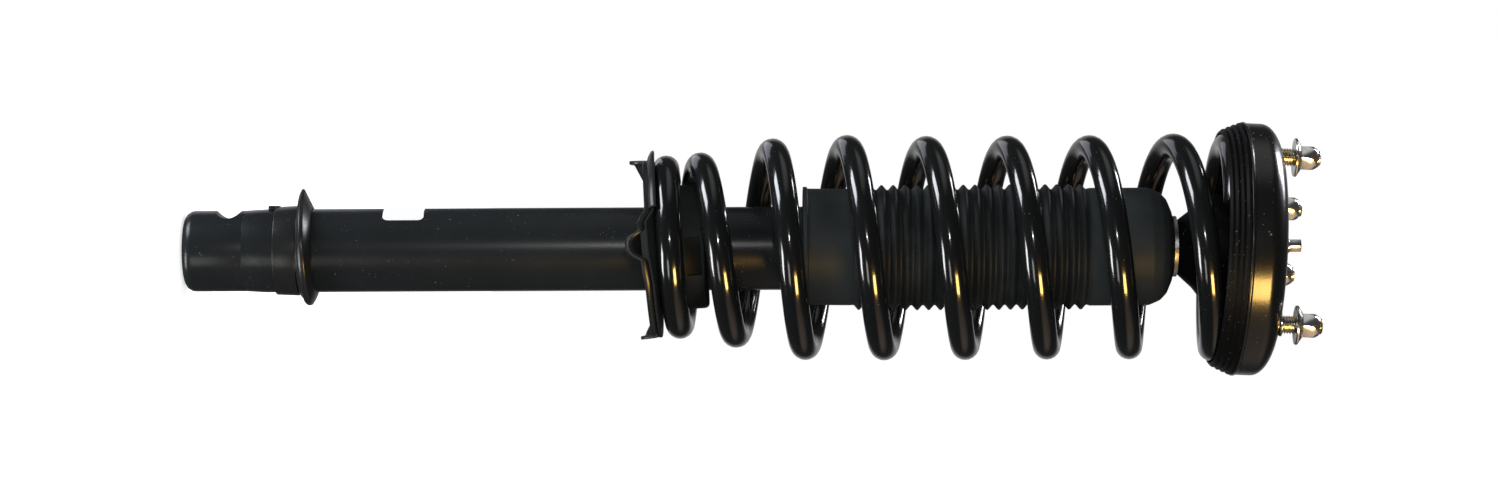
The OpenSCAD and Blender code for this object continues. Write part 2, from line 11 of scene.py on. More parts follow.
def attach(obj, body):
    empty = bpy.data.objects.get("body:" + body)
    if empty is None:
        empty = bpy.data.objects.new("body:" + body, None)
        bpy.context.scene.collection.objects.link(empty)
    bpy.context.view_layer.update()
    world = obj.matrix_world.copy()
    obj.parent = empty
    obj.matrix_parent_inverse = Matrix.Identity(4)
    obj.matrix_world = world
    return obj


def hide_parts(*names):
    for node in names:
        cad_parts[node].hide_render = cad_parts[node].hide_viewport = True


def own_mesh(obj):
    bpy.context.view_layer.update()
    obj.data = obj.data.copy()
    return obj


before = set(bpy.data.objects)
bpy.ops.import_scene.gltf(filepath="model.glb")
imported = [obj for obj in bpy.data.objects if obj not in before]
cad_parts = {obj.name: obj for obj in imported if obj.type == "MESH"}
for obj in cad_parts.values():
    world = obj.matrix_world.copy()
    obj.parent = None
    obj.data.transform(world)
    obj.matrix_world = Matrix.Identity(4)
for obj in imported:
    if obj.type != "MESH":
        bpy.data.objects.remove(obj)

bl_info = {
    "name": "Suspension strut",
    "version": (1, 0, 0),
    "blender": (4, 5, 0),
    "location": "View3D > Sidebar > Strut",
    "description": "Builds the visible pieces, finishes and stage of a coil-over suspension strut",
    "category": "Object",
}

MM = 0.001
FIXED, MOVING = "damper_body", "rod_assembly"

# Places, in millimetres along the strut's axis from the pinch groove.
SEAT_Z, SEAT_TILT = 240.1, -3.5
FACE_Z, MOUNT_TILT, TILT_Z = 585.1, 2.8, 531.0
FLANGE_Z, FLANGE_TILT = 43.2, -3.0
SEAT_PLACE = Matrix.Translation((0, 0, SEAT_Z)) @ Matrix.Rotation(radians(SEAT_TILT), 4, "Y")
# the mount tilts about a point on the rod
MOUNT_PLACE = (Matrix.Translation((0, 0, TILT_Z)) @ Matrix.Rotation(radians(MOUNT_TILT), 4, "Y")
               @ Matrix.Translation((0, 0, FACE_Z - TILT_Z)))
BASE_Z, STEP_Z = -24.6, 9.0
TUBE_R, CLAMP_R, TUBE_TOP = 23.3, 22.6, 366.0
GROOVE_R, GROOVE_DEPTH = 8.1, 4.5
SLEEVE_LOW, SLEEVE_HIGH = 26.3, 39.1
SEAT_R, HUB_R, NECK_R = 49.2, 34.8, 33.0
STUDS = ((168, 10), (117, 6), (76, 4), (-41, 8))
STUD_CIRCLE, STUD_R, STUD_OVER = 54.0, 5.0, 14.8
# height, hexagon across flats and flange radius of the nuts on the studs and on the rod
STUD_NUT, ROD_NUT, ROD_NUT_Z = (13, 13, 11), (9.5, 15, 9.4), 579.5
ROD_R, THREAD_R, ROD_SHOULDER, ROD_TIP = 6.25, 5.0, 527.5, 599.6


# ---------------------------------------------------------------- what a user would change


def user_colour(name, description, default):
    """A colour that a user can change."""
    return bpy.props.FloatVectorProperty(
        name=name, description=description, subtype="COLOR", size=4, default=default, min=0, max=1)


class StrutSizes(bpy.types.PropertyGroup):
    """Sizes of the dressed pieces."""

    wire_diameter: bpy.props.FloatProperty(
        name="Wire diameter", description="Diameter of the spring's wire",
        default=0.014, min=0.012, max=0.0145, unit="LENGTH")
    wire_steps: bpy.props.IntProperty(
        name="Wire steps", description="Sections of wire in one turn of the spring",
        default=64, min=24, max=96)
    thread_pitch: bpy.props.FloatProperty(
        name="Thread pitch", description="Pitch of the studs' and the rod's threads",
        default=0.0015, min=0.001, max=0.002, unit="LENGTH")
    sheet: bpy.props.FloatProperty(
        name="Seat sheet", description="Thickness of the lower seat's pressed sheet",
        default=0.0018, min=0.001, max=0.003, unit="LENGTH")
    turns: bpy.props.IntProperty(
        name="Turned sides", description="Sides of a piece turned round the axis",
        default=160, min=48, max=256)


class StrutFinishes(bpy.types.PropertyGroup):
    """Colours of the paints, rubbers and platings."""

    tube: user_colour("Tube paint", "Satin paint of the damper tube", (0.0125, 0.0145, 0.0155, 1))
    seat: user_colour(
        "Seat paint", "Paint of the pressed seat, sleeve and flange",
        (0.0125, 0.0138, 0.0138, 1))
    spring: user_colour("Spring paint", "Gloss powder coat of the spring", (0.0055, 0.006, 0.0062, 1))
    housing: user_colour("Housing paint", "Gloss paint of the mount's housing", (0.0065, 0.0065, 0.0068, 1))
    boot: user_colour("Boot", "Moulded boot round the rod", (0.027, 0.0325, 0.034, 1))
    pad: user_colour("Seat pad", "Rubber pad under the first coil", (0.02, 0.0235, 0.0235, 1))
    rubber: user_colour("Rubber", "Bushes, insulator ring, seal and bumper", (0.004, 0.0042, 0.0043, 1))
    zinc: user_colour(
        "Zinc plate", "Yellow zinc on the studs, washer and rod nut, and the cast on the stud nuts",
        (0.74, 0.62, 0.36, 1))
    label: user_colour("Label", "Blank paper label", (0.82, 0.82, 0.8, 1))


class StrutStage(bpy.types.PropertyGroup):
    """Camera and lamps."""

    distance: bpy.props.FloatProperty(
        name="Camera distance", description="From the camera to the strut's axis",
        default=2.1, min=0.8, max=6, unit="LENGTH")
    lens: bpy.props.FloatProperty(
        name="Lens", description="Focal length of the camera", default=90, min=35, max=200, unit="CAMERA")
    lamps: bpy.props.FloatProperty(
        name="Lamps", description="Strength of all lamps", default=1, min=0.1, max=4, subtype="FACTOR")
    backdrop: user_colour("Backdrop", "Colour of the floor and the backdrop", (1, 1, 1, 1))


# ---------------------------------------------------------------- shader maths


class Value:
    """A shader socket that adds Math nodes when it is used in arithmetic."""

    def __init__(self, board, socket):
        self.board, self.socket = board, socket

    def _math(self, operation, *terms):
        return self.board.node("ShaderNodeMath", {"operation": operation}, dict(enumerate(terms)))

    def __add__(self, other):
        return self._math("ADD", self, other)

    def __sub__(self, other):
        return self._math("SUBTRACT", self, other)

    def __rsub__(self, other):
        return self._math("SUBTRACT", other, self)

    def __mul__(self, other):
        return self._math("MULTIPLY", self, other)

    def __pow__(self, other):
        return self._math("POWER", self, other)

    __radd__, __rmul__ = __add__, __mul__

    def largest(self, other):
        """The larger of two values."""
        return self._math("MAXIMUM", self, other)

    def rise(self, start, end):
        """0 below start, 1 above end, and smooth between them."""
        return self.board.node(
            "ShaderNodeMapRange", {"interpolation_type": "SMOOTHSTEP"},
            {"Value": self, "From Min": start, "From Max": end})


class Board:
    """The node tree of one material or of the world."""

    def __init__(self, owner):
        owner.use_nodes = True
        self.tree = owner.node_tree
        self.tree.nodes.clear()

    def node(self, kind, settings=None, inputs=None, output=0):
        """A node with its settings made first, then its inputs linked or set. Gives one output."""
        made = self.tree.nodes.new(kind)
        for name, value in (settings or {}).items():
            setattr(made, name, value)
        for name, value in (inputs or {}).items():
            if isinstance(value, Value):
                self.tree.links.new(value.socket, made.inputs[name])
            else:
                made.inputs[name].default_value = value
        return Value(self, made.outputs[output]) if made.outputs else None

    def place(self, stretch):
        """Object coordinates, stretched along their axes."""
        spot = self.node("ShaderNodeTexCoord", output="Object")
        return self.node("ShaderNodeMapping", inputs={"Vector": spot, "Scale": stretch})

    def grain(self, size, detail, stretch=(1, 1, 1)):
        """Noise whose features are about size metres across."""
        return self.node(
            "ShaderNodeTexNoise", {"noise_dimensions": "3D"},
            {"Vector": self.place(stretch), "Scale": 1 / size, "Detail": detail})

    def axes(self, output="Object"):
        """The x, y and z of the Object coordinates, or of another output of Texture Coordinate."""
        spot = self.node("ShaderNodeTexCoord", output=output)
        split = self.tree.nodes.new("ShaderNodeSeparateXYZ")
        self.tree.links.new(spot.socket, split.inputs[0])
        return [Value(self, split.outputs[i]) for i in range(3)]

    def radius(self):
        """Distance from the strut's axis."""
        x, y, _ = self.axes()
        return (x * x + y * y) ** 0.5

    def blend(self, share, one, other):
        """One colour turning into the other as share goes from 0 to 1."""
        return self.node(
            "ShaderNodeMix", {"data_type": "RGBA"}, {0: share, 6: one, 7: other}, output=2)

    def bump(self, height, depth):
        """A bumped normal: depth is the height in metres that a change of 1 stands for."""
        return self.node("ShaderNodeBump", inputs={"Height": height, "Distance": depth})

    def surface(self, **sockets):
        """Principled surface on the output. Underscores in the names stand for spaces."""
        shader = self.node(
            "ShaderNodeBsdfPrincipled", inputs={name.replace("_", " "): v for name, v in sockets.items()})
        self.node("ShaderNodeOutputMaterial", inputs={"Surface": shader})


def tint(colour, factor):
    """A colour made lighter or darker."""
    return tuple(min(1.0, c * factor) for c in colour[:3]) + (1.0,)


def finish(name):
    """The material of that name, made on first use."""
    if name in bpy.data.materials:
        return bpy.data.materials[name]
    material = bpy.data.materials.new(name)
    FINISHES[name](Board(material), bpy.context.scene.strut_finishes)
    return material


def painted(board, colour, rough, peel, dust, scuffs, specular, coat=0.0):
    """Paint with orange peel, faint clouds in its gloss, dust specks and fine scuffs."""
    cloud = board.grain(0.035, 3)
    specks = board.grain(0.0011, 0).rise(0.79, 0.83) * board.grain(0.012, 1).rise(0.45, 0.7)
    marks = board.grain(0.004, 5, (1, 1, 6)).rise(0.69, 0.73) * board.grain(0.02, 1).rise(0.5, 0.66)
    base = board.blend(cloud, tint(colour, 0.75), tint(colour, 1.3))
    base = board.blend(specks * dust, base, (0.3, 0.3, 0.29, 1))
    base = board.blend(marks * scuffs, base, (0.09, 0.09, 0.088, 1))
    board.surface(
        Base_Color=base,
        Roughness=rough + (cloud - 0.5) * 0.16 * rough + marks * 0.25 + specks * 0.3,
        Specular_IOR_Level=specular,
        Coat_Weight=coat,
        Coat_Roughness=0.06,
        Normal=board.bump(board.grain(0.0024, 1) + board.grain(0.0006, 0) * 0.2, peel),
    )


def moulded(board, colour, rough, grit, bloom, specular=0.35):
    """Rubber with a fine mould texture and a pale bloom that gathers in patches."""
    patches = board.grain(0.02, 4)
    fine = board.grain(0.0007, 2)
    bloomed = patches.rise(0.48, 0.75) * bloom
    base = board.blend(bloomed, tint(colour, 0.85), tint(colour, 2.1))
    specks = board.grain(0.0012, 0).rise(0.8, 0.84)
    base = board.blend(specks * 0.4, base, (0.2, 0.195, 0.185, 1))
    board.surface(
        Base_Color=base,
        Roughness=rough + bloomed * 0.12 + (fine - 0.5) * 0.08,
        Specular_IOR_Level=specular,
        Normal=board.bump(fine + board.grain(0.003, 1) * 0.7, grit),
    )


def plated(board, colour, rough, tarnish, brushed=(1, 1, 1)):
    """Bare or plated metal with tarnish and fine tool marks."""
    cloud = board.grain(0.006, 3)
    lines = board.grain(0.0009, 3, brushed)
    base = board.blend(cloud.rise(0.35, 0.68), colour, tarnish)
    board.surface(
        Base_Color=board.blend(lines.rise(0.55, 0.8) * 0.35, base, tint(colour, 0.45)),
        Metallic=1.0,
        Roughness=rough + lines * 0.14 + cloud * 0.08,
        Normal=board.bump(lines, 0.00002),
    )


def tube_paint(board, colours):
    painted(board, colours.tube, 0.27, peel=0.000012, dust=0.35, scuffs=0.4, specular=0.22)


def seat_paint(board, colours):
    painted(board, colours.seat, 0.3, peel=0.000022, dust=0.3, scuffs=0.5, specular=0.3)


def spring_paint(board, colours):
    painted(board, colours.spring, 0.15, coat=0.35, peel=0.00002, dust=0.15, scuffs=0.25, specular=0.5)


def housing_paint(board, colours):
    painted(board, colours.housing, 0.23, coat=0.1, peel=0.000025, dust=0.8, scuffs=0.5, specular=0.45)


def boot_skin(board, colours):
    """Matt boot, darker along its ribbed length."""
    height = board.axes()[2]
    ribbed = height.rise(0.347, 0.351) * (1 - height.rise(0.478, 0.482))
    patches = board.grain(0.02, 4).rise(0.48, 0.75)
    base = board.blend(ribbed, colours.boot, tint(colours.boot, 0.6))
    base = board.blend(patches * 0.3, base, tint(colours.boot, 1.6))
    fine = board.grain(0.0007, 2)
    board.surface(
        Base_Color=base, Roughness=0.5 + patches * 0.1 + (fine - 0.5) * 0.08, Specular_IOR_Level=0.1,
        Normal=board.bump(fine + board.grain(0.003, 1) * 0.7, 0.000012))


def pad_skin(board, colours):
    """Grey-black pad with painted shade in its recess, and darker and duller along the cut edge past the pan.
    """
    edge = board.radius().rise(0.0484, 0.0492)
    outside = board.radius().rise(0.0336, 0.0342)
    patches = board.grain(0.008, 4)
    base = board.blend(patches, tint(colours.pad, 0.8), tint(colours.pad, 1.4))
    # painted shade: inside the recess the pad's colour is darkened to 0.3
    base = board.blend(outside, tint(colours.pad, 0.3), base)
    base = board.blend(edge * (0.3 + patches * 0.4), base, (0.016, 0.0165, 0.016, 1))
    fine = board.grain(0.0008, 2)
    board.surface(
        Base_Color=base, Roughness=0.45 + fine * 0.12 + edge * 0.2, Specular_IOR_Level=0.05,
        Normal=board.bump(fine, 0.00003))


def bush_rubber(board, colours):
    moulded(board, colours.rubber, 0.45, grit=0.00002, bloom=0.3, specular=0.05)


def stop_foam(board, _):
    """Open-celled stop with small pores."""
    cells = board.grain(0.0012, 2)
    base = board.blend(cells.rise(0.4, 0.65), (0.3, 0.24, 0.12, 1), (0.56, 0.47, 0.27, 1))
    board.surface(Base_Color=base, Roughness=0.8, Normal=board.bump(cells, 0.0003))


def yellow_zinc(board, colours):
    """Yellow chromate that shifts from gold to blue-grey over the plate."""
    drift = board.grain(0.009, 2)
    base = board.blend(drift.rise(0.42, 0.6), colours.zinc, (0.52, 0.56, 0.58, 1))
    lines = board.grain(0.0008, 3)
    board.surface(
        Base_Color=board.blend(lines.rise(0.6, 0.8) * 0.3, base, tint(colours.zinc, 0.5)),
        Metallic=1.0, Roughness=0.17 + lines * 0.14, Normal=board.bump(lines, 0.000015))


def pale_zinc(board, colours):
    """Clear zinc on the stud nuts with a thin yellow cast in places."""
    drift = board.grain(0.006, 2)
    base = board.blend(drift.rise(0.5, 0.75) * 0.5, (0.92, 0.92, 0.92, 1), colours.zinc)
    lines = board.grain(0.0008, 3)
    board.surface(
        Base_Color=board.blend(lines.rise(0.6, 0.8) * 0.3, base, (0.42, 0.42, 0.4, 1)),
        Metallic=1.0, Roughness=0.14 + lines * 0.12, Normal=board.bump(lines, 0.000015))


def ground_steel(board, _):
    plated(board, (0.56, 0.56, 0.58, 1), 0.24, (0.38, 0.37, 0.36, 1), brushed=(1, 1, 8))


def sintered_iron(board, _):
    plated(board, (0.3, 0.29, 0.28, 1), 0.42, (0.2, 0.19, 0.18, 1))


def bush_bronze(board, _):
    plated(board, (0.6, 0.42, 0.2, 1), 0.3, (0.4, 0.27, 0.13, 1), brushed=(1, 1, 10))


def band_resin(board, _):
    moulded(board, (0.05, 0.09, 0.075, 1), 0.4, grit=0.00001, bloom=0.2)


def rod_chrome(board, _):
    plated(board, (0.7, 0.71, 0.73, 1), 0.07, (0.64, 0.65, 0.68, 1), brushed=(1, 1, 14))


def label_paper(board, colours):
    """Blank coated paper, slightly grimed."""
    grime = board.grain(0.009, 4).rise(0.5, 0.85)
    fibre = board.grain(0.0005, 2)
    board.surface(
        Base_Color=board.blend(grime * 0.35, colours.label, (0.6, 0.6, 0.57, 1)),
        Roughness=0.42 + fibre * 0.15, Normal=board.bump(fibre, 0.00001))


FINISHES = {
    "tube_paint": tube_paint, "seat_paint": seat_paint, "spring_paint": spring_paint,
    "housing_paint": housing_paint, "boot_skin": boot_skin, "pad_skin": pad_skin,
    "bush_rubber": bush_rubber, "stop_foam": stop_foam, "yellow_zinc": yellow_zinc,
    "pale_zinc": pale_zinc, "ground_steel": ground_steel, "sintered_iron": sintered_iron,
    "bush_bronze": bush_bronze, "band_resin": band_resin, "rod_chrome": rod_chrome,
    "label_paper": label_paper,
}

# ---------------------------------------------------------------- mesh helpers (millimetres)


# faces round a softened corner
CORNER_STEPS = 4


def softened(outline, radius, closed):
    """Rounds the corners of an outline of (r, z) points. A third number in a point is its own radius."""
    flat = [Vector(p[:2]) for p in outline]
    count, out = len(flat), []
    for i, here in enumerate(flat):
        own = outline[i][2] if len(outline[i]) > 2 else radius
        if not closed and i in (0, count - 1) or own <= 0 or here.x < 1e-6:
            out.append(here)
            continue
        back, on = flat[i - 1] - here, flat[(i + 1) % count] - here
        angle = back.angle(on, pi)
        if angle > radians(165):
            out.append(here)
            continue
        half = angle / 2
        reach = min(own * cos(half) / sin(half), back.length * 0.45, on.length * 0.45)
        own = reach * sin(half) / cos(half)
        start, end = here + back.normalized() * reach, here + on.normalized() * reach
        centre = here + (back.normalized() + on.normalized()).normalized() * (own / sin(half))
        for k in range(CORNER_STEPS + 1):
            spoke = (start - centre).lerp(end - centre, k / CORNER_STEPS).normalized() * own
            out.append(centre + spoke)
    return [(p.x, p.y) for p in out]


def turned(outline, closed=True, steps=None, radius=0.5):
    """A bmesh turned round the strut's axis from an outline of (r, z) points with softened corners."""
    bm = bmesh.new()
    verts = [bm.verts.new((r, 0, z)) for r, z in softened(outline, radius, closed)]
    pairs = list(zip(verts, verts[1:])) + ([(verts[-1], verts[0])] if closed else [])
    edges = [bm.edges.new(pair) for pair in pairs]
    bmesh.ops.spin(
        bm, geom=verts + edges, cent=(0, 0, 0), axis=(0, 0, 1), angle=tau,
        steps=steps or bpy.context.scene.strut_sizes.turns, use_merge=True)
    bmesh.ops.remove_doubles(bm, verts=bm.verts, dist=1e-4)
    bmesh.ops.dissolve_degenerate(bm, edges=bm.edges, dist=1e-5)
    bmesh.ops.recalc_face_normals(bm, faces=bm.faces)
    return bm


def turned_by(bm, matrix):
    """Moves a bmesh, in millimetres, by a matrix."""
    bmesh.ops.transform(bm, matrix=matrix, verts=bm.verts)
    return bm


def prism(radius, depth, sides, place=None):
    """An upright prism or cylinder round the origin, or at a place given as a matrix."""
    bm = bmesh.new()
    bmesh.ops.create_cone(bm, cap_ends=True, segments=sides, radius1=radius, radius2=radius, depth=depth)
    return turned_by(bm, place or Matrix())


def joined(*parts):
    """Several bmeshes as one."""
    whole = parts[0]
    for part in parts[1:]:
        mesh = bpy.data.meshes.new("part")
        part.to_mesh(mesh)
        part.free()
        whole.from_mesh(mesh)
        bpy.data.meshes.remove(mesh)
    return whole


def piece(name, bm, body, surface, replaces=(), sharp=32):
    """Makes a finished piece of a bmesh in millimetres, riding on a body."""
    bmesh.ops.scale(bm, vec=(MM, MM, MM), verts=bm.verts)
    mesh = bpy.data.meshes.new(name)
    bm.to_mesh(mesh)
    bm.free()
    mesh.polygons.foreach_set("use_smooth", [True] * len(mesh.polygons))
    mesh.set_sharp_from_angle(angle=radians(sharp))
    made = bpy.data.objects.new(name, mesh)
    bpy.context.scene.collection.objects.link(made)
    made.data.materials.append(finish(surface))
    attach(made, body)
    if replaces:
        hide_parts(*replaces)
    return made


def settle(made, sharp):
    """Applies a piece's modifiers to its mesh."""
    graph = bpy.context.evaluated_depsgraph_get()
    mesh = bpy.data.meshes.new_from_object(made.evaluated_get(graph))
    made.modifiers.clear()
    old, made.data = made.data, mesh
    mesh.name = made.name
    bpy.data.meshes.remove(old)
    mesh.polygons.foreach_set("use_smooth", [True] * len(mesh.polygons))
    mesh.set_sharp_from_angle(angle=radians(sharp))
    return made


def cut_away(bm, cutter):
    """Takes one closed bmesh out of another with a Boolean modifier, and gives the result."""
    objects = []
    for name, part in (("cut_body", bm), ("cut_tool", cutter)):
        mesh = bpy.data.meshes.new(name)
        part.to_mesh(mesh)
        part.free()
        objects.append(bpy.data.objects.new(name, mesh))
        bpy.context.scene.collection.objects.link(objects[-1])
    body, tool = objects
    boolean = body.modifiers.new("cut", "BOOLEAN")
    boolean.operation, boolean.solver, boolean.object = "DIFFERENCE", "EXACT", tool
    graph = bpy.context.evaluated_depsgraph_get()
    mesh = bpy.data.meshes.new_from_object(body.evaluated_get(graph))
    out = bmesh.new()
    out.from_mesh(mesh)
    for old in (body, tool):
        data = old.data
        bpy.data.objects.remove(old)
        bpy.data.meshes.remove(data)
    bpy.data.meshes.remove(mesh)
    return out


def edge_bevel(bm, width, least=28):
    """Bevels the edges of a bmesh that turn by more than an angle."""
    sharp = [e for e in bm.edges if len(e.link_faces) == 2 and e.calc_face_angle(0) > radians(least)]
    bmesh.ops.bevel(
        bm, geom=sharp, offset=width, affect="EDGES", segments=2, profile=0.5, material=-1,
        offset_type="OFFSET", clamp_overlap=True)
    return bm


def smooth_step(x):
    """0 to 1 with level ends."""
    x = min(max(x, 0.0), 1.0)
    return x * x * (3 - 2 * x)


def table(x, pairs):
    """Straight-line lookup in pairs of (x, value)."""
    if x <= pairs[0][0]:
        return pairs[0][1]
    for (x0, v0), (x1, v1) in zip(pairs, pairs[1:]):
        if x <= x1:
            return v0 + (v1 - v0) * (x - x0) / (x1 - x0)
    return pairs[-1][1]


def bearing(point):
    """Azimuth of a point in degrees, from 0 to 360."""
    return point.xy.angle_signed(Vector((1, 0)), 0) * 180 / pi % 360


# ---------------------------------------------------------------- damper body


class StrutMakeTube(bpy.types.Operator):
    """Closed lower end with its pinch groove, and the damper tube"""

    bl_idname = "strut.make_tube"
    bl_label = "Damper tube"

    def execute(self, context):
        top = STEP_Z - 0.02
        cup = turned([(0, BASE_Z), (CLAMP_R, BASE_Z, 5.6), (CLAMP_R, top, 0.1), (0, top)])
        groove = Matrix.Translation((-CLAMP_R + GROOVE_DEPTH - GROOVE_R, 0, 0))
        cup = cut_away(cup, prism(GROOVE_R, 80, 96, groove @ Matrix.Rotation(pi / 2, 4, "X")))
        lips = [e for e in cup.edges if len(e.link_faces) == 2 and e.calc_face_angle(0) > radians(25)
                and abs(e.verts[0].co.z) < GROOVE_R + 0.4]
        bmesh.ops.bevel(
            cup, geom=lips, offset=0.7, affect="EDGES", segments=3, profile=0.5, material=-1,
            clamp_overlap=True)
        piece("lower_end", cup, FIXED, "tube_paint", ["base_cup"])
        tube = turned([
            (CLAMP_R, STEP_Z, 0.1), (TUBE_R, STEP_Z + 12, 20), (TUBE_R, TUBE_TOP, 1.5),
            (16, TUBE_TOP), (16, TUBE_TOP - 2), (TUBE_R - 2.2, TUBE_TOP - 2), (TUBE_R - 2.2, STEP_Z)])
        piece("tube", tube, FIXED, "tube_paint", ["damper_tube"])
        return {"FINISHED"}


# degrees to each side over which the flange's rim is drawn out into its ear
EAR_SPREAD = 50


class StrutMakeForkStop(bpy.types.Operator):
    """Sleeve with its key, and the flared ring with its pointed ear"""

    bl_idname = "strut.make_fork_stop"
    bl_label = "Fork stop"

    def execute(self, context):
        sleeve = turned([
            (TUBE_R, SLEEVE_LOW), (24.6, SLEEVE_LOW, 0.6), (25.2, SLEEVE_HIGH, 0.5), (TUBE_R, SLEEVE_HIGH)])
        key = bmesh.new()
        bmesh.ops.create_cube(key, size=1)
        turned_by(key, Matrix.Translation((-24, 0, 25.2)) @ Matrix.Diagonal((2.4, 10, 6, 1)))
        edge_bevel(key, 0.5)
        piece("sleeve", joined(sleeve, key), FIXED, "seat_paint", ["fork_collar"])
        ring = turned([
            (TUBE_R, -4.4), (25.5, -4.4, 0.6), (27.1, -3, 1.2), (29.7, -2.1, 1), (30.8, -0.6, 1.2),
            (30.6, 1.2, 1.2), (28, 3, 1.5), (25.2, 4.4, 1.5), (TUBE_R, 5.1)], steps=240, radius=0.6)
        for vert in ring.verts:
            reach = vert.co.xy.length
            aside = abs(bearing(vert.co) - 180)
            if reach > 26 and aside < EAR_SPREAD:
                pull = (1 - aside / EAR_SPREAD) ** 2 * smooth_step((reach - 26) / 5)
                vert.co.xy *= 1 + 0.13 * pull
                vert.co.z -= (1 + vert.co.z) * 0.25 * pull
        turned_by(ring, Matrix.Translation((0, 0, FLANGE_Z)) @ Matrix.Rotation(radians(FLANGE_TILT), 4, "Y"))
        for vert in ring.verts:
            vert.co.z = max(vert.co.z, SLEEVE_HIGH + 0.1)
        piece("flange", ring, FIXED, "seat_paint", ["stop_flange"])
        return {"FINISHED"}


# ---------------------------------------------------------------- lower seat

# azimuth and depth of each pressed rib
RIBS = ((-93, 7.4), (-3, 6.6), (87, 8.4), (177, 7.8))
RIB_START = 32.0
# from where to where a wall stands up outside the first coil
WALL = (190, 243)
# how far the rim stands off the seat's plane, by azimuth
RIM_RISE = ((0, -1.0), (60, 0), (244, 0), (252, -4.4), (272, -4.0), (292, -2.2), (319, -1.7), (360, -1.0))


def rim_rise(point):
    """How far the seat's rim stands off its plane at a point."""
    return table(bearing(point), RIM_RISE) * smooth_step((point.xy.length - 40) / 7)


def rib_depth(point):
    """How deep the pressed ribs go below the pan at a point."""
    deepest = 0.0
    for heading, depth in RIBS:
        along = Matrix.Rotation(-radians(heading), 2) @ point.xy
        if along.x > RIB_START:
            wide = depth * (along.x - RIB_START) / (SEAT_R - RIB_START)
            off = abs(along.y) / (wide * 1.12)
            if off < 1:
                deepest = max(deepest, wide * (1 - off**2.3) ** 0.75)
    return deepest


class StrutMakeLowerSeat(bpy.types.Operator):
    """Pressed pan with open ribs, the wall beside the first coil, neck and weld"""

    bl_idname = "strut.make_lower_seat"
    bl_label = "Lower seat"

    def execute(self, context):
        sheet = context.scene.strut_sizes.sheet / MM
        # a radial line out to the rim, turned down into a short skirt
        line = [(23 + i * 0.7, 0) for i in range(36)]
        line += [(48.2, -0.1), (48.8, -0.4), (49.15, -1), (SEAT_R, -2), (SEAT_R, -3)]
        pan = turned(line, closed=False, steps=360, radius=0)
        for vert in pan.verts:
            vert.co.z += rim_rise(vert.co) - rib_depth(vert.co) - 1.6 - sheet / 2
        for _ in range(2):
            bmesh.ops.smooth_vert(
                pan, verts=[v for v in pan.verts if not v.is_boundary], factor=0.5, use_axis_z=True)
        turned_by(pan, SEAT_PLACE)
        wall = turned(
            [(47.5, -2.6), (49.4, -2.4), (50.6, -1.4), (51.3, 0), (51.5, 1.2)],
            closed=False, steps=360, radius=0)
        low, high = WALL
        bmesh.ops.delete(
            wall, geom=[v for v in wall.verts if not low <= bearing(v.co) <= high], context="VERTS")
        for vert in wall.verts:
            flare = 3.4 * smooth_step((low + 24 - bearing(vert.co)) / 20) * smooth_step((vert.co.z + 3) / 3)
            vert.co.xy *= 1 + flare / 50
        turned_by(wall, SEAT_PLACE)
        made = piece(
            "spring_pan", joined(pan, wall), FIXED, "seat_paint", ["lower_spring_seat"],
            sharp=60)
        solid = made.modifiers.new("sheet", "SOLIDIFY")
        solid.thickness, solid.offset, solid.use_even_offset = context.scene.strut_sizes.sheet, 0, True
        rim = made.modifiers.new("edge", "BEVEL")
        rim.width, rim.segments, rim.limit_method, rim.angle_limit = 0.0004, 2, "ANGLE", radians(50)
        settle(made, 50)
        neck = turned([
            (TUBE_R, -1.5), (NECK_R, -1.5), (NECK_R, 24, 4), (TUBE_R, 24), (TUBE_R, 22), (NECK_R - 2, 22, 3),
            (NECK_R - 2, -1), (TUBE_R, -1)])
        turned_by(neck, SEAT_PLACE)
        piece("seat_neck_skin", neck, FIXED, "seat_paint", ["seat_neck"])
        weld = turned([
            (TUBE_R - 0.3, -3), (25.6, -3.2), (25.9, -4.2, 1), (24.4, -6.4, 1), (TUBE_R - 0.3, -7)],
            steps=240)
        for vert in weld.verts:
            ripple = 0.35 * abs(sin(radians(bearing(vert.co)) * 27)) + 0.5 * noise.noise(vert.co * 0.2)
            vert.co.xy *= 1 + ripple * 0.012
            vert.co.z -= ripple * 0.5
        piece("seat_weld", turned_by(weld, SEAT_PLACE), FIXED, "seat_paint")
        return {"FINISHED"}


class StrutMakeSeatPad(bpy.types.Operator):
    """Rubber pad under the first coil with the moulded neck inside it"""

    bl_idname = "strut.make_seat_pad"
    bl_label = "Seat pad"

    def execute(self, context):
        pad = turned([
            (33.1, -1.5), (33.1, 24.1), (29, 24.1), (29, 26.5, 0.8), (HUB_R, 26.5, 3.2), (HUB_R, 1.2, 1),
            (37, 0, 1)] + [(38 + i, 0, 0) for i in range(10)] + [(49.6, 0, 0.7), (49.6, -1.5, 0.3)]
            + [(47.5 - i, -1.5, 0) for i in range(10)], steps=240)
        for vert in pad.verts:
            vert.co.z += rim_rise(vert.co)
            if vert.co.z < rim_rise(vert.co) - 1 and vert.co.xy.length < 49.5:
                vert.co.z -= min(2.6, 0.7 * rib_depth(vert.co))
        window = bmesh.new()
        bmesh.ops.create_cube(window, size=1)
        turned_by(window, Matrix.Translation((5.3, -32, 19.5)) @ Matrix.Diagonal((21.3, 9, 9, 1)))
        edges = [e for e in window.edges if abs((e.verts[0].co - e.verts[1].co).y) > 5]
        bmesh.ops.bevel(window, geom=edges, offset=1.2, affect="EDGES", segments=4, profile=0.5, material=-1)
        # the recess leaves a thin floor of rubber over the neck
        pad = edge_bevel(cut_away(pad, cut_away(window, prism(HUB_R - 1.1, 90, 240))), 0.25, 35)
        turned_by(pad, SEAT_PLACE)
        piece("seat_pad", pad, FIXED, "pad_skin", ["lower_insulator"])
        return {"FINISHED"}


# ---------------------------------------------------------------- coil spring

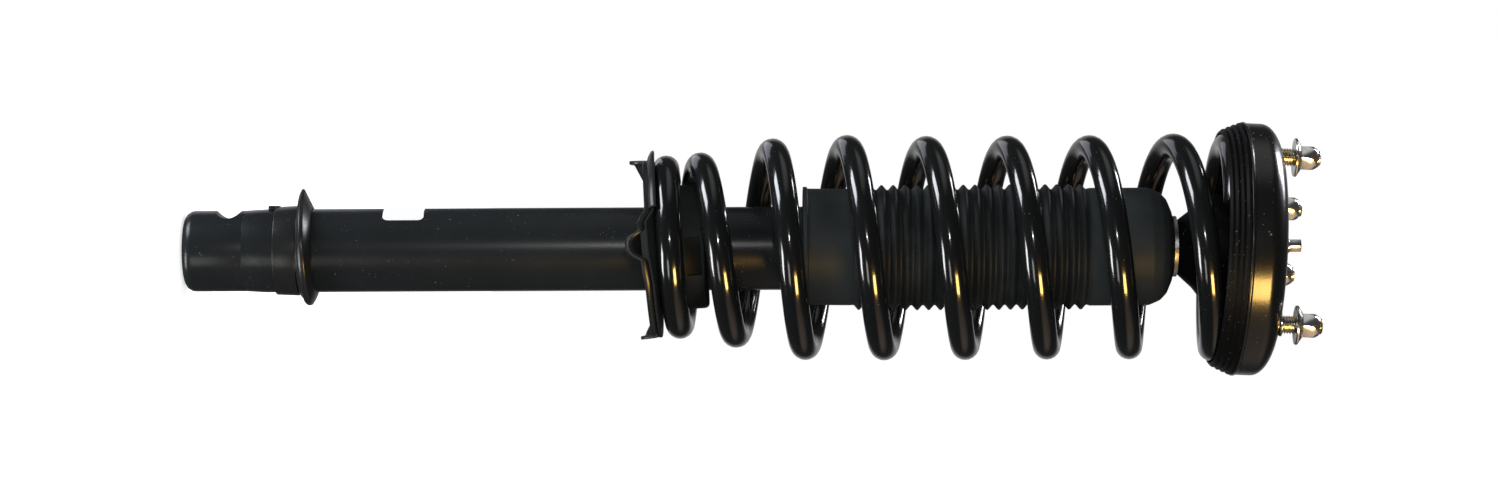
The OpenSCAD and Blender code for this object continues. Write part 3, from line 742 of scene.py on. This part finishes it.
COIL_START, COIL_TURNS, COIL_EASE = 145, 8.28, 0.2
COIL_RISE = (
    (0.575, 247.3), (1.1, 264.6), (2.1, 302.6), (3.1, 344.5), (4.1, 389.5), (5.1, 434.8), (6.1, 480.7),
    (7.1, 526.9), (7.65, 556.2))
COIL_LEAN = (
    (0.575, 0.0612), (1.1, 0.026), (1.6, -0.008), (2.1, -0.0236), (2.6, -0.0252), (3.6, -0.0116),
    (5.1, -0.0074), (7.1, -0.01), (7.55, -0.04), (7.65, -0.0489))
COIL_RADII = (
    (0.6, 44.3), (1.1, 45.6), (1.6, 49.5), (2.1, 54.2), (2.6, 56.2), (3.1, 56.2), (4, 55.8), (6.6, 55.8),
    (7.2, 56.6), (7.6, 57.2))
COIL_SHIFTS = ((0.6, -1), (1.6, -1), (2.6, -0.3), (3.6, 0.1), (4.1, 0.3))
# the wire's section is this much taller along the axis than it is wide
WIRE_RISE = 1.05


def wire_centre(turn):
    """Centre of the spring's wire after some turns from its lower end."""
    height, lean, reach, shift = (
        sum(table(turn + COIL_EASE * i / 4, pairs) for i in range(-4, 5)) / 9
        for pairs in (COIL_RISE, COIL_LEAN, COIL_RADII, COIL_SHIFTS))
    heading = radians(COIL_START + 360 * turn)
    x = reach * cos(heading) + shift
    return Vector((x, reach * sin(heading), height + x * lean))


class StrutMakeSpring(bpy.types.Operator):
    """Coil spring of thick wire with plainly cut ends"""

    bl_idname = "strut.make_spring"
    bl_label = "Coil spring"

    def execute(self, context):
        sizes = context.scene.strut_sizes
        curve = bpy.data.curves.new("spring_path", "CURVE")
        curve.dimensions, curve.twist_mode = "3D", "Z_UP"
        curve.bevel_depth, curve.bevel_resolution, curve.use_fill_caps = sizes.wire_diameter / 2, 8, True
        count = round(COIL_TURNS * sizes.wire_steps)
        line = curve.splines.new("POLY")
        line.points.add(count)
        for i, point in enumerate(line.points):
            spot = wire_centre(COIL_TURNS * i / count) * MM
            point.co = (spot.x, spot.y, spot.z / WIRE_RISE, 1)
        holder = bpy.data.objects.new("spring_path", curve)
        context.scene.collection.objects.link(holder)
        graph = context.evaluated_depsgraph_get()
        mesh = bpy.data.meshes.new_from_object(holder.evaluated_get(graph))
        bm = bmesh.new()
        bm.from_mesh(mesh)
        bpy.data.objects.remove(holder)
        bpy.data.curves.remove(curve)
        bpy.data.meshes.remove(mesh)
        bmesh.ops.scale(bm, vec=(1 / MM, 1 / MM, WIRE_RISE / MM), verts=bm.verts)
        bmesh.ops.remove_doubles(bm, verts=bm.verts, dist=0.001)
        edge_bevel(bm, 0.5, 60)
        bmesh.ops.recalc_face_normals(bm, faces=bm.faces)
        spring = piece("spring", bm, FIXED, "spring_paint", ["coil_spring"], sharp=50)
        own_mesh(spring)
        return {"FINISHED"}


# ---------------------------------------------------------------- boot

BOOT_RIBS, BELLOWS_Z, BELLOWS_TOP = 20, 348.6, 479.4
BOOT_CREST, BOOT_VALLEY, BOOT_SLEEVE, BOOT_WALL = 35.6, 32.4, 33.0, 1.6
# how far the loose boot hangs off the axis, by height
BOOT_SAG = ((320, -0.8), (345, -0.5), (365, 0))


def boot_outline():
    """The boot's outer line from its cuff to its neck, with radii for its corners."""
    pitch = (BELLOWS_TOP - BELLOWS_Z) / BOOT_RIBS
    line = [(33.6, 320.9, 0.4), (33.6, 322.9, 0.4), (32.6, 323.6, 0.3), (32.6, 346.4, 0.5)]
    for i in range(BOOT_RIBS):
        z = BELLOWS_Z + pitch * i
        line += [
            (BOOT_VALLEY, z + 0.5, 0.7), (BOOT_CREST, z + pitch * 0.5, 0.9),
            (BOOT_VALLEY, z + pitch - 0.5, 0.7)]
    return line + [
        (BOOT_SLEEVE, BELLOWS_TOP + 2, 0.6), (BOOT_SLEEVE, 514, 6), (30.2, 520.4, 5), (26.6, 523.8, 3),
        (20.6, 526.4, 2), (17, 527.2, 0.6), (10.3, 527.2, 0.3)]


class StrutMakeBoot(bpy.types.Operator):
    """Moulded boot: open cuff, ribs, plain sleeve and domed neck"""

    bl_idname = "strut.make_boot"
    bl_label = "Dust boot"

    def execute(self, context):
        pitch = (BELLOWS_TOP - BELLOWS_Z) / BOOT_RIBS
        inner = [(32, 320.9, 0.4), (31, 346, 0)]
        for i in range(BOOT_RIBS):
            inner += [(BOOT_VALLEY - BOOT_WALL, BELLOWS_Z + pitch * i, 0),
                      (BOOT_CREST - BOOT_WALL, BELLOWS_Z + pitch * (i + 0.5), 0)]
        inner += [
            (BOOT_SLEEVE - BOOT_WALL, BELLOWS_TOP + 2, 0), (BOOT_SLEEVE - BOOT_WALL, 514, 5), (24, 523, 3),
            (10.3, 525.8)]
        boot = turned(boot_outline() + inner[::-1], steps=128)
        for vert in boot.verts:
            wander = 0.16 * noise.noise(vert.co * 0.045) + 0.05 * noise.noise(vert.co * 0.2)
            if 324 < vert.co.z < 515:
                vert.co.xy *= 1 + wander / 33
            vert.co.x += table(vert.co.z, BOOT_SAG)
        made = piece("boot", boot, MOVING, "boot_skin", ["dust_boot"], sharp=50)
        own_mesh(made)
        return {"FINISHED"}


# ---------------------------------------------------------------- upper mount


# the housing's face falls away to its wall along a quarter of an ellipse
DOME_R, DOME_WIDE, DOME_DEEP = 50, 20.5, 11.5
DOME = [
    (DOME_R + DOME_WIDE * sin(pi * i / 24), DOME_DEEP * cos(pi * i / 24) - DOME_DEEP, 0)
    for i in range(1, 13)]


class StrutMakeMount(bpy.types.Operator):
    """Lower and upper bushes, the ridged insulator ring and the painted housing"""

    bl_idname = "strut.make_mount"
    bl_label = "Upper mount"

    def execute(self, context):
        cone = turned([
            (9.1, -55), (14.6, -55.6, 0.8), (23, -45.6, 1.5), (29.6, -40, 5), (30, -27.7, 0.6), (9.1, -27.7)])
        top = turned([(9.6, -24.5), (25.8, -24.5, 1), (28, -17, 4), (23, -7.9, 1), (9.6, -7.9, 0.5)])
        ring = turned([
            (45, -3.2), (55, -3.4, 2), (62, -8.8, 2), (67.2, -16.6, 1), (67.2, -22.2, 0.2),
            (70.6, -22.2, 0.3), (70.5, -23.7, 0.5), (68.9, -25.2, 0.3), (69.5, -26.6, 0.6), (67.7, -28, 0.3),
            (68.3, -29.4, 0.6), (66.5, -30.9, 0.3), (66.9, -32.2, 0.6), (65.4, -33.8, 0.5), (64, -33.8, 0.4),
            (64.7, -32.6, 0.5), (65.7, -30.2, 1), (65.7, -21.6, 1), (48.4, -21.6, 1), (46.4, -29.3, 0.6),
            (45, -29.3, 0.6)], steps=200)
        for name, rubber, node in (
                ("lower_bush", cone, "lower_mount_rubber"), ("upper_bush", top, "upper_mount_rubber"),
                ("insulator", ring, "upper_insulator")):
            piece(name, turned_by(rubber, MOUNT_PLACE), MOVING, "bush_rubber", [node])
        shell = turned([
            (14, -24.6, 0.6), (29.5, -24.6, 0), (32, -24.6, 3), (32, 0, 4), (DOME_R, 0, 0), *DOME,
            (70.5, -20, 0.5), (71.1, -20.9, 0.4), (71.1, -22, 0.3), (67.5, -22, 0.2), (67.5, -16, 0),
            (66, -10.4, 3), (60, -6.2, 3), (50, -3.7, 2), (35, -3, 1.5), (35, -27.6, 1), (14, -27.6, 0.6)],
            steps=200)
        turned_by(shell, MOUNT_PLACE)
        piece("housing", shell, MOVING, "housing_paint", ["mount_base"])
        return {"FINISHED"}


# ---------------------------------------------------------------- fasteners


# a thread's depth as a share of its pitch, and the chamfers at its top and foot
THREAD_DEPTH, TOP_CHAMFER, FOOT_CHAMFER = 0.55, 1.2, 0.6


def threaded(radius, low, high, pitch):
    """A screw thread from low to high as a turned helix, trimmed flat and chamfered at its ends."""
    depth = pitch * THREAD_DEPTH
    bm = bmesh.new()
    count = int((high - low) / pitch) + 2
    verts = []
    for i in range(count):
        z = low - pitch + i * pitch
        for share, reach in ((0.0, 0), (0.12, 0), (0.44, -depth), (0.6, -depth), (0.92, 0)):
            verts.append(bm.verts.new((radius + reach, 0, z + share * pitch)))
    edges = [bm.edges.new(pair) for pair in zip(verts, verts[1:])]
    bmesh.ops.spin(
        bm, geom=verts + edges, cent=(0, 0, 0), axis=(0, 0, 1), dvec=(0, 0, pitch / 32), angle=tau, steps=32)
    bmesh.ops.remove_doubles(bm, verts=bm.verts, dist=0.01)
    bmesh.ops.bisect_plane(
        bm, geom=bm.verts[:] + bm.edges[:] + bm.faces[:], plane_co=(0, 0, high - 0.02), plane_no=(0, 0, 1),
        clear_outer=True)
    bmesh.ops.bisect_plane(
        bm, geom=bm.verts[:] + bm.edges[:] + bm.faces[:], plane_co=(0, 0, low), plane_no=(0, 0, -1),
        clear_outer=True)
    for vert in bm.verts:
        past_top = max(0.0, vert.co.z - (high - TOP_CHAMFER))
        most = radius - past_top - max(0.0, low + FOOT_CHAMFER - vert.co.z)
        reach = vert.co.xy.length
        if reach > most:
            vert.co.xy *= most / reach
    bmesh.ops.holes_fill(bm, edges=[e for e in bm.edges if e.is_boundary])
    bmesh.ops.recalc_face_normals(bm, faces=bm.faces)
    return bm


def flange_nut(height, flats, flange_r, bore):
    """Flange nut with a hexagon under a domed end."""
    hexagon = prism(flats / sqrt(3), height - 1, 6, Matrix.Translation((0, 0, (height + 1) / 2)))
    corner = turned([
        (flats, height + 1), (flats, -1), (flats * 0.585, 0.5, 0.3), (flats * 0.575, height * 0.5, 3),
        (flats * 0.53, height * 0.78, 3), (flats * 0.43, height * 0.97, 1), (bore + 0.6, height, 0.3),
        (bore + 0.4, height + 1)], steps=96)
    hexagon = edge_bevel(cut_away(hexagon, corner), 0.25, 35)
    base = turned([
        (bore, 0), (flange_r - 0.4, 0, 0.3), (flange_r, 0.5, 0.3), (flange_r - 0.2, 1.4, 0.3),
        (flats * 0.56, 3.7, 0.6), (bore, 4)], steps=96)
    return joined(base, hexagon)


class StrutMakeFasteners(bpy.types.Operator):
    """Threaded studs with their flange nuts, and the rod's end with its washer and nut"""

    bl_idname = "strut.make_fasteners"
    bl_label = "Studs and nuts"

    def execute(self, context):
        pitch = context.scene.strut_sizes.thread_pitch / MM
        studs, nuts = [], []
        for heading, gap in STUDS:
            turn, back = (Matrix.Rotation(radians(angle), 4, "Z") for angle in (heading, -heading))
            # turned back again, so that every nut's hexagon faces one way
            spot = MOUNT_PLACE @ turn @ Matrix.Translation((STUD_CIRCLE, 0, 0)) @ back
            studs.append(turned_by(threaded(STUD_R, 0.9, gap + STUD_OVER, pitch), spot))
            seat = turned([
                (0, -5), (7.5, -5, 0.4), (7.5, -3.1), (5, -3.1), (5, -0.9), (6.4, -0.9), (6.6, 0.5, 0.3),
                (5, 1.2, 0.2), (4.2, 1.4), (0, 1.4)], steps=64)
            studs.append(turned_by(seat, spot))
            nut = flange_nut(*STUD_NUT, STUD_R - 0.4)
            nuts.append(turned_by(nut, spot @ Matrix.Translation((0, 0, gap))))
        piece("studs", joined(*studs), MOVING, "yellow_zinc", ["mount_studs"])
        piece("stud_flange_nuts", joined(*nuts), MOVING, "pale_zinc", ["stud_nuts"])
        rod = turned([
            (0, 287.4), (3.5, 287.4), (4.5, 288.4), (4.5, 312), (ROD_R, 312), (ROD_R, ROD_SHOULDER, 0.3),
            (THREAD_R, ROD_SHOULDER), (THREAD_R, 574), (4.2, 574.2), (4.2, 592), (0, 592)],
            radius=0.2, steps=96)
        thread = threaded(THREAD_R, 574, 593, pitch)
        tip = edge_bevel(prism(4, 10, 6, Matrix.Translation((0, 0, ROD_TIP - 5))), 0.4)
        piece("rod", joined(rod, thread, tip), MOVING, "rod_chrome", ["piston_rod"])
        washer = turned([
            (5.1, 577), (20, 577, 1), (23, 578, 0.3), (23, 580, 0.3), (20, 579.5, 1), (5.1, 579.5)])
        piece("top_washer", washer, MOVING, "yellow_zinc", ["mount_washer"])
        nut = turned_by(flange_nut(*ROD_NUT, THREAD_R - 0.4), Matrix.Translation((0, 0, ROD_NUT_Z)))
        piece("top_nut", nut, MOVING, "yellow_zinc", ["rod_nut"])
        return {"FINISHED"}


# ---------------------------------------------------------------- label, inner parts, stage


# the label's lower and upper edges, the radius of the corners at its end, and the azimuth where it
# starts with the angle it covers
LABEL_LOW, LABEL_HIGH, LABEL_CORNER = 86.8, 109.6, 3.0
LABEL_START, LABEL_SWEEP = radians(118), radians(106.4)


class StrutMakeLabel(bpy.types.Operator):
    """Blank paper label wrapped part of the way round the tube"""

    bl_idname = "strut.make_label"
    bl_label = "Blank label"

    def execute(self, context):
        label = bmesh.new()
        verts = [label.verts.new((TUBE_R + 0.06, 0, z)) for z in (LABEL_LOW, LABEL_HIGH)]
        edges = [label.edges.new(verts)]
        bmesh.ops.rotate(label, verts=verts, cent=(0, 0, 0), matrix=Matrix.Rotation(LABEL_START, 3, "Z"))
        bmesh.ops.spin(
            label, geom=verts + edges, cent=(0, 0, 0), axis=(0, 0, 1), angle=LABEL_SWEEP, steps=120)
        for vert in label.verts:
            # how far the point lies inside the rounded end of the paper
            left = (LABEL_START + LABEL_SWEEP - radians(bearing(vert.co))) * TUBE_R
            inside = max(0.0, LABEL_CORNER - left)
            short = LABEL_CORNER - sqrt(max(0.0, LABEL_CORNER**2 - inside**2))
            vert.co.z += short if vert.co.z < LABEL_LOW + 1 else -short
        bmesh.ops.recalc_face_normals(label, faces=label.faces)
        bmesh.ops.solidify(label, geom=label.faces[:], thickness=0.1)
        bmesh.ops.recalc_face_normals(label, faces=label.faces)
        piece("blank_label", label, FIXED, "label_paper")
        return {"FINISHED"}


INNER = {
    "pressure_tube": "ground_steel", "base_valve": "sintered_iron", "base_check_plate": "ground_steel",
    "base_valve_pin": "ground_steel", "rod_guide": "sintered_iron", "guide_bush": "bush_bronze",
    "oil_seal": "bush_rubber", "tube_cap": "seat_paint", "piston": "sintered_iron",
    "piston_band": "band_resin", "piston_check_plate": "ground_steel", "check_stop": "ground_steel",
    "rebound_shims": "ground_steel", "piston_nut": "ground_steel", "rebound_stop": "ground_steel",
    "rebound_bumper": "bush_rubber", "bump_stop": "stop_foam", "boot_plate": "ground_steel",
    "mount_collar": "ground_steel",
}


class StrutFinishInnerParts(bpy.types.Operator):
    """Finishes of the solids that are kept as they are, inside the tube and the boot"""

    bl_idname = "strut.finish_inner_parts"
    bl_label = "Inner parts"

    def execute(self, context):
        for node, name in INNER.items():
            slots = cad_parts[node].data.materials
            slots.clear()
            slots.append(finish(name))
        return {"FINISHED"}


# where the camera stands along X and Z, in metres, and its small roll
CAMERA_X, CAMERA_Z, CAMERA_ROLL = 0.0009, 0.2912, radians(0.29)
# how far the floor lies below the strut, in metres
FLOOR_GAP = 0.0005
# this lamp shows only as a mirrored glint
GLINT_LAMP = "warm_low"
# name, place (x, y, z), aim, width, height, watts, colour
LAMPS = (
    ("front_spot", (-0.37, -1.95, 0.36), (0, 0, 0.33), 0.1, 0.1, 5.5, (1, 1, 1)),
    (GLINT_LAMP, (1.02, -1.36, 1.02), (0, 0, 0.38), 0.62, 0.56, 48, (1, 0.6, 0.16)),
    ("left_high", (-1.3, -0.3, -1.15), (0, 0, 0.3), 1.1, 0.7, 34, (0.9, 0.93, 1)),
    ("left_low", (0.5, -0.5, -1.6), (0, 0, 0.3), 0.9, 0.45, 24, (0.97, 0.98, 1)),
    ("right_high", (-0.8, 0.9, 1.9), (0, 0, 0.3), 0.9, 0.5, 26, (0.93, 0.95, 1)),
    ("back_left", (-1.0, 1.75, -0.62), (0, 0, 0.3), 1.0, 1.0, 2.5, (0.86, 0.88, 1)),
    ("front_low", (0.95, -1.7, -0.55), (0, 0, 0.1), 0.8, 0.4, 5, (1, 0.98, 0.95)),
)


class StrutMakeStage(bpy.types.Operator):
    """Camera, lamps, white world and floor"""

    bl_idname = "strut.make_stage"
    bl_label = "Stage"

    def execute(self, context):
        scene, stage = context.scene, context.scene.strut_stage
        scene.view_settings.view_transform = "Standard"
        self.camera(scene, stage)
        for name, place, aim, width, height, watts, colour in LAMPS:
            lamp = bpy.data.lights.new(name, "AREA")
            lamp.shape, lamp.size, lamp.size_y = "RECTANGLE", width, height
            lamp.energy, lamp.color = watts * stage.lamps, colour
            holder = bpy.data.objects.new(name, lamp)
            holder.location = place
            holder.rotation_euler = (Vector(aim) - Vector(place)).to_track_quat("-Z", "Y").to_euler()
            holder.visible_diffuse = name != GLINT_LAMP
            scene.collection.objects.link(holder)
        self.world(scene, stage)
        self.floor(scene, stage)
        return {"FINISHED"}

    def camera(self, scene, stage):
        """The camera lies on its side, so that the strut runs from left to right."""
        data = bpy.data.cameras.new("camera")
        data.lens, data.sensor_width = stage.lens, 36
        data.clip_start, data.clip_end = 0.05, 50
        camera = bpy.data.objects.new("camera", data)
        on_side = Matrix(((0, -1, 0, 0), (0, 0, -1, 0), (1, 0, 0, 0), (0, 0, 0, 1)))
        camera.matrix_world = (
            Matrix.Translation((CAMERA_X, -stage.distance, CAMERA_Z))
            @ Matrix.Rotation(CAMERA_ROLL, 4, "Y") @ on_side)
        scene.collection.objects.link(camera)
        scene.camera = camera

    def seen(self, board):
        """Two masks: rays from the camera, straight or through glass, and mirrored rays."""
        path = board.tree.nodes.new("ShaderNodeLightPath")
        camera, glossy, through = (
            Value(board, path.outputs[name])
            for name in ("Is Camera Ray", "Is Glossy Ray", "Is Transmission Ray"))
        return camera.largest(through), glossy

    def world(self, scene, stage):
        scene.world = scene.world or bpy.data.worlds.new("world")
        board = Board(scene.world)
        straight, glossy = self.seen(board)
        x, y, z = board.axes("Generated")
        # in mirrored rays the room is pale behind the strut and beyond its -X side, and warm beyond +X
        pale = x.rise(-0.8, -0.97) * z.rise(-0.08, 0.14)
        warm = x.rise(0.6, 1) * z.rise(-0.05, 0.25) * glossy
        mirrored = y.rise(0.84, 1) * 0.4 + warm * 0.5 + pale * 0.5 + 0.03
        strength = straight + (1 - straight) * (glossy * mirrored + (1 - glossy) * 0.5)
        colour = board.blend(warm * (1 - straight), tuple(stage.backdrop), (1, 0.7, 0.46, 1))
        sky = board.node("ShaderNodeBackground", inputs={"Color": colour, "Strength": strength})
        board.node("ShaderNodeOutputWorld", inputs={"Surface": sky})

    def floor(self, scene, stage):
        bm = bmesh.new()
        bmesh.ops.create_circle(bm, cap_ends=True, segments=96, radius=2.5)
        bmesh.ops.translate(bm, vec=(0, 0, BASE_Z * MM - FLOOR_GAP), verts=bm.verts)
        mesh = bpy.data.meshes.new("floor")
        bm.to_mesh(mesh)
        bm.free()
        floor = bpy.data.objects.new("floor", mesh)
        scene.collection.objects.link(floor)
        floor.visible_diffuse = floor.visible_glossy = floor.visible_shadow = False
        material = bpy.data.materials.new("floor_white")
        board = Board(material)
        straight, _ = self.seen(board)
        white = tuple(stage.backdrop)
        glow = board.node("ShaderNodeEmission", inputs={"Color": white, "Strength": straight * 0.62})
        matt = board.node("ShaderNodeBsdfDiffuse", inputs={"Color": white})
        both = board.node("ShaderNodeAddShader", inputs={0: glow, 1: matt})
        board.node("ShaderNodeOutputMaterial", inputs={"Surface": both})
        mesh.materials.append(material)


# ---------------------------------------------------------------- panel and registration


MAKERS = (
    StrutMakeTube, StrutMakeForkStop, StrutMakeLowerSeat, StrutMakeSeatPad, StrutMakeSpring,
    StrutMakeBoot, StrutMakeMount, StrutMakeFasteners, StrutMakeLabel, StrutFinishInnerParts,
    StrutMakeStage,
)


class StrutPanel(bpy.types.Panel):
    """Lists the strut's sizes, finishes and pieces"""

    bl_idname = "VIEW3D_PT_strut"
    bl_label = "Suspension strut"
    bl_space_type = "VIEW_3D"
    bl_region_type = "UI"
    bl_category = "Strut"

    def draw(self, context):
        for group in ("strut_sizes", "strut_finishes", "strut_stage"):
            values = getattr(context.scene, group)
            box = self.layout.box()
            for name in type(values).__annotations__:
                box.prop(values, name)
        for maker in MAKERS:
            self.layout.operator(maker.bl_idname)


GROUPS = {"strut_sizes": StrutSizes, "strut_finishes": StrutFinishes, "strut_stage": StrutStage}


def register():
    for kind in (*GROUPS.values(), *MAKERS, StrutPanel):
        bpy.utils.register_class(kind)
    for name, kind in GROUPS.items():
        setattr(bpy.types.Scene, name, bpy.props.PointerProperty(type=kind))


def unregister():
    for name in GROUPS:
        delattr(bpy.types.Scene, name)
    for kind in (StrutPanel, *reversed(MAKERS), *reversed(GROUPS.values())):
        bpy.utils.unregister_class(kind)


def main():
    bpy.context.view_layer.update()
    register()
    for maker in MAKERS:
        group, name = maker.bl_idname.split(".")
        getattr(getattr(bpy.ops, group), name)()


if __name__ == "__main__":
    main()
